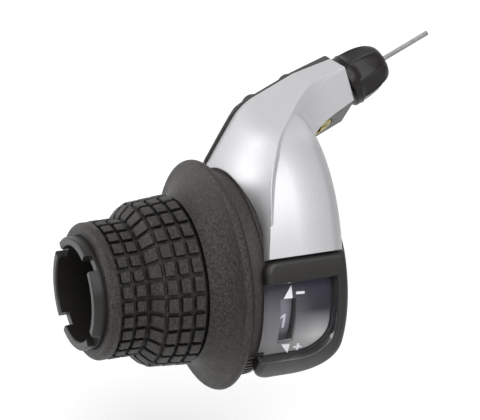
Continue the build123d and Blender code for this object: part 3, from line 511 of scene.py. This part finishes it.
# Painted light: the ring's grey is lifted well above its own tone to make up for the shade inside the
# deep number opening.
RING_PAINTED_LIGHT = moulding(
    "ring_moulding",
    dark=(0.27, 0.266, 0.288),
    light=(0.31, 0.305, 0.33),
    roughness=(0.45, 0.6),
    edge=0.0002,
    grain=4200.0,
    depth=0.00001,
    specular=0.1,
)
SILVER = silver_paint()
CLEAR = clear_plastic()
PRINT_AND_REFLECTION = window_print_and_reflection()
STEEL = metal(
    "bright_steel",
    dark=(0.50, 0.50, 0.51),
    light=(0.62, 0.62, 0.63),
    roughness=(0.25, 0.42),
)
DARK_STEEL = metal(
    "black_oxide",
    dark=(0.04, 0.04, 0.042),
    light=(0.07, 0.07, 0.072),
    roughness=(0.35, 0.5),
)
WIRE = metal(
    "wire_steel",
    dark=(0.22, 0.22, 0.22),
    light=(0.28, 0.28, 0.28),
    roughness=(0.45, 0.55),
)
BRASS = metal(
    "turned_brass",
    dark=(0.62, 0.45, 0.20),
    light=(0.75, 0.56, 0.27),
    roughness=(0.25, 0.4),
)
YELLOW = metal(
    "yellow_zinc",
    dark=(0.18, 0.15, 0.02),
    light=(0.34, 0.28, 0.06),
    roughness=(0.25, 0.45),
)
EDGE_INK = ink("edge_ink", (0.006, 0.0055, 0.008))
SIGN_INK = ink("sign_ink", (0.72, 0.72, 0.72))
NUMBER_INK = ink("number_ink", (0.95, 0.95, 0.98))

FINISHES = {
    "bracket": BLACK,
    "top_cover": SILVER,
    "lower_cover": GREY,
    "indicator_bezel": SMOOTH,
    "indicator_lens": CLEAR,
    # The mask takes the print with painted reflection and shade as well.
    "indicator_mask": PRINT_AND_REFLECTION,
    "cover_screws": DARK_STEEL,
    "keeper_screw": YELLOW,
    "clamp_bolt": DARK_STEEL,
    "clamp_nut": STEEL,
    "cable_guide": WHITE,
    "detent_spring": STEEL,
    "thrust_washer": WHITE,
    "retainer_ring": STEEL,
    "adjuster_insert": BRASS,
    "cable_lead": WIRE,
    "twist_sleeve": SMOOTH,
    "grip_rubber": RUBBER,
    "number_ring": RING_PAINTED_LIGHT,
    "cable_nipple": STEEL,
    "shift_cable": WIRE,
    "click_sleeve": WHITE,
    "adjuster_knob": KNOB,
    "adjuster_stem": STEEL,
    "adjuster_spring": STEEL,
}
for name, material in FINISHES.items():
    nodes[name].data.materials.clear()
    nodes[name].data.materials.append(material)


# Pieces


def add_piece(name, mesh, body, material):
    """A new piece from a bmesh, riding on a body."""
    data = bpy.data.meshes.new(name)
    mesh.to_mesh(data)
    mesh.free()
    piece = bpy.data.objects.new(name, data)
    bpy.context.scene.collection.objects.link(piece)
    data.materials.append(material)
    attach(piece, body)
    return piece


def on_cylinder(name, outlines, radius, body, material):
    """Thin prints laid round the bar axis, from outlines of X and height angle."""
    mesh = bmesh.new()
    for outline in outlines:
        mesh.faces.new([mesh.verts.new((x, angle, 0.0)) for x, angle in outline])
    angles = [angle for outline in outlines for x, angle in outline]
    cut = min(angles) + CURVE_STEP
    while cut < max(angles):
        geometry = mesh.verts[:] + mesh.edges[:] + mesh.faces[:]
        bmesh.ops.bisect_plane(mesh, geom=geometry, plane_co=(0, cut, 0), plane_no=(0, 1, 0))
        cut += CURVE_STEP
    raised = bmesh.ops.extrude_face_region(mesh, geom=mesh.faces[:])
    for item in raised["geom"]:
        if isinstance(item, bmesh.types.BMVert):
            item.co.z += PRINT_THICKNESS
    for vertex in mesh.verts:
        angle = radians(vertex.co.y)
        reach = radius + vertex.co.z
        vertex.co = Vector((vertex.co.x, -reach * cos(angle), reach * sin(angle))) * MM
    bmesh.ops.recalc_face_normals(mesh, faces=mesh.faces[:])
    return add_piece(name, mesh, body, material)


def rectangle(left, right, low, top):
    """Outline of a plain strip."""
    return [(left, low), (right, low), (right, top), (left, top)]


def print_parts(inset, corner):
    """A print round its number opening, in four strips; the low right corner is rounded."""
    opening_left, opening_right, opening_top, opening_low = APERTURE
    degrees_per_mm = degrees(1 / LENS_INNER_RADIUS)
    left = LENS_START_X + PRINT_GAP
    right = LENS_END_X - inset
    top = LENS_TOP_ANGLE - PRINT_GAP * degrees_per_mm
    low = LENS_LOW_ANGLE + inset * degrees_per_mm
    right_strip = [(opening_right, low)]
    for step in range(CORNER_STEPS + 1):
        turn = radians(90.0 * step / CORNER_STEPS)
        x = right - corner * (1 - sin(turn))
        angle = low + corner * (1 - cos(turn)) * degrees_per_mm
        right_strip.append((x, angle))
    right_strip += [(right, top), (opening_right, top)]
    return [
        rectangle(left, opening_left, low, top),
        rectangle(opening_left, opening_right, opening_top, top),
        rectangle(opening_left, opening_right, low, opening_low),
        right_strip,
    ]


def laid_numeral(strokes, middle):
    """A numeral's strokes round the number ring, with its middle at that height angle."""
    tall = degrees(NUMERAL_HEIGHT / NUMBER_RADIUS)
    return [
        [(NUMBER_X + (x - 0.5) * NUMERAL_WIDTH, middle + (y / 2 - 0.5) * tall) for x, y in stroke]
        for stroke in strokes
    ]


margin = print_parts(PRINT_GAP, LENS_CORNER)
picture = print_parts(PICTURE_INSET, PICTURE_CORNER)
edge_radius = LENS_INNER_RADIUS + EDGE_LIFT
picture_radius = LENS_INNER_RADIUS + PICTURE_LIFT
sign_radius = LENS_INNER_RADIUS + SIGN_LIFT
on_cylinder("window_edge", margin, edge_radius, "holder", EDGE_INK)
# This print piece carries the painted reflection and shade of the lens.
on_cylinder("window_print_and_reflection", picture, picture_radius, "holder", PRINT_AND_REFLECTION)
for name, outlines in SIGNS.items():
    on_cylinder(name, outlines, sign_radius, "holder", SIGN_INK)
for index, (numeral, strokes) in enumerate(NUMERALS.items()):
    laid = laid_numeral(strokes, FIRST_NUMBER_ANGLE + index * GEAR_STEP)
    on_cylinder("numeral_" + numeral, laid, NUMBER_RADIUS, "twist", NUMBER_INK)


def wire_point(along, back, above):
    """A point beside the straight wire, in metres."""
    angle = radians(ARM_ANGLE)
    x = ARM_END[0] + along * cos(angle) - above * sin(angle)
    z = ARM_END[2] + along * sin(angle) + above * cos(angle)
    return Vector((x, ARM_END[1] + back, z)) * MM


def bridge(mesh, first, second):
    """Four-sided faces between two closed rings of points."""
    for index in range(len(first)):
        following = (index + 1) % len(first)
        mesh.faces.new([first[index], first[following], second[following], second[index]])


def add_strand(mesh, circle, radius, start_turn):
    """One strand laid in a helix on that circle, closed at both ends."""
    length = WIRE_END - WIRE_START
    steps = ceil(length / STRAND_LAY * STEPS_PER_LAY)
    rings = []
    for step in range(steps + 1):
        along = WIRE_START + length * step / steps
        turn = start_turn + 2 * pi * (along - WIRE_START) / STRAND_LAY
        ring = []
        for side in range(STRAND_SIDES):
            corner = turn + 2 * pi * side / STRAND_SIDES
            back = circle * cos(turn) + radius * cos(corner)
            above = circle * sin(turn) + radius * sin(corner)
            ring.append(mesh.verts.new(wire_point(along, back, above)))
        rings.append(ring)
    for first, second in zip(rings, rings[1:]):
        bridge(mesh, first, second)
    mesh.faces.new(rings[0][::-1])
    mesh.faces.new(rings[-1])


def stranded_wire():
    """Fine strands laid round a core, cut square at both ends."""
    mesh = bmesh.new()
    for strand in range(STRANDS):
        add_strand(mesh, STRAND_CIRCLE, STRAND_RADIUS, 2 * pi * strand / STRANDS)
    add_strand(mesh, 0.0, CORE_RADIUS, 0.0)
    bmesh.ops.recalc_face_normals(mesh, faces=mesh.faces[:])
    for face in mesh.faces:
        face.smooth = len(face.verts) == 4
    return add_piece("stranded_wire", mesh, "wire", WIRE)


def fluted_knob():
    """The knob with hollow flutes that meet in ridges and run out on the nose."""
    around = KNOB_FLUTES * FLUTE_STEPS
    mesh = bmesh.new()
    rings = []
    for along, radius, depth in KNOB_OUTSIDE + KNOB_INSIDE:
        ring = []
        for index in range(around):
            turn = 2 * pi * index / around + radians(KNOB_TURN)
            hollow = sin(pi * (index % FLUTE_STEPS) / FLUTE_STEPS) ** FLUTE_POWER
            reach = radius - depth * hollow
            ring.append(mesh.verts.new(wire_point(along, reach * cos(turn), reach * sin(turn))))
        rings.append(ring)
    for first, second in zip(rings, rings[1:] + rings[:1]):
        bridge(mesh, first, second)
    bmesh.ops.recalc_face_normals(mesh, faces=mesh.faces[:])
    for face in mesh.faces:
        face.smooth = True
    for edge in mesh.edges:
        edge.smooth = edge.calc_face_angle() < radians(SHARP_EDGE)
    return add_piece("fluted_knob", mesh, "adjuster", KNOB)


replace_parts(stranded_wire(), "shift_cable")
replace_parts(fluted_knob(), "adjuster_knob")


# Floor, light and camera


def studio_world():
    """White to the camera and in reflections, softer as light on the object."""
    world = bpy.data.worlds.new("studio")
    bpy.context.scene.world = world
    world.use_nodes = True
    tree = world.node_tree
    background = tree.nodes["Background"]
    background.inputs["Color"].default_value = (1.0, 1.0, 1.0, 1.0)
    tree.links.new(span(tree, seen_rays(tree), WORLD_LIGHT, 1.0), background.inputs["Strength"])


def studio_floor():
    """A wide pale floor, brighter further back, so that it shows white and keeps a soft shadow."""
    low = cad_box[0][2] - FLOOR_DROP
    bpy.ops.mesh.primitive_plane_add(size=FLOOR_SIZE, location=(0, 0, low))
    floor = bpy.context.object
    floor.name = "floor"
    material, tree, shader = start_material("floor_white")
    shader.inputs["Base Color"].default_value = (0.93, 0.93, 0.93, 1.0)
    shader.inputs["Roughness"].default_value = 0.9
    shader.inputs["Emission Color"].default_value = (1.0, 1.0, 1.0, 1.0)
    glow = span(tree, object_axes(tree)["Y"], *FLOOR_GLOW, *FLOOR_GLOW_REACH)
    seen_glow = combine(tree, "MULTIPLY", seen_rays(tree), glow)
    tree.links.new(seen_glow, shader.inputs["Emission Strength"])
    floor.data.materials.append(material)


def lamp(name, place, aim, size, power):
    """A soft rectangular lamp; the power is in watts."""
    data = bpy.data.lights.new(name, "AREA")
    data.shape = "RECTANGLE"
    data.size, data.size_y = size
    data.energy = power
    light = bpy.data.objects.new(name, data)
    light.location = place
    light.rotation_euler = (Vector(aim) - Vector(place)).to_track_quat("-Z", "Y").to_euler()
    bpy.context.scene.collection.objects.link(light)


def photograph_camera():
    """A camera at the photograph's angle and distance, with its centre and width."""
    azimuth = radians(VIEW_AZIMUTH)
    elevation = radians(VIEW_ELEVATION)
    look = Vector((sin(azimuth) * cos(elevation), cos(azimuth) * cos(elevation), -sin(elevation)))
    right = Vector((cos(azimuth), -sin(azimuth), 0.0))
    up = right.cross(look)
    target = (right * VIEW_CENTRE[0] + up * VIEW_CENTRE[1]) * MM
    data = bpy.data.cameras.new("camera")
    data.sensor_width = SENSOR_WIDTH
    data.lens = SENSOR_WIDTH * VIEW_DISTANCE / VIEW_WIDTH
    camera = bpy.data.objects.new("camera", data)
    camera.location = target - look * VIEW_DISTANCE * MM
    camera.rotation_euler = look.to_track_quat("-Z", "Y").to_euler()
    bpy.context.scene.collection.objects.link(camera)
    bpy.context.scene.camera = camera


bpy.context.scene.view_settings.view_transform = "Standard"
studio_world()
studio_floor()
lamp("left", place=(-0.62, 0.26, 0.26), aim=(0.0, 0.0, 0.0), size=(0.8, 0.6), power=4.8)
lamp("front", place=(-0.06, -0.50, 0.48), aim=(0.01, 0.0, 0.0), size=(0.7, 0.7), power=5.6)
photograph_camera()
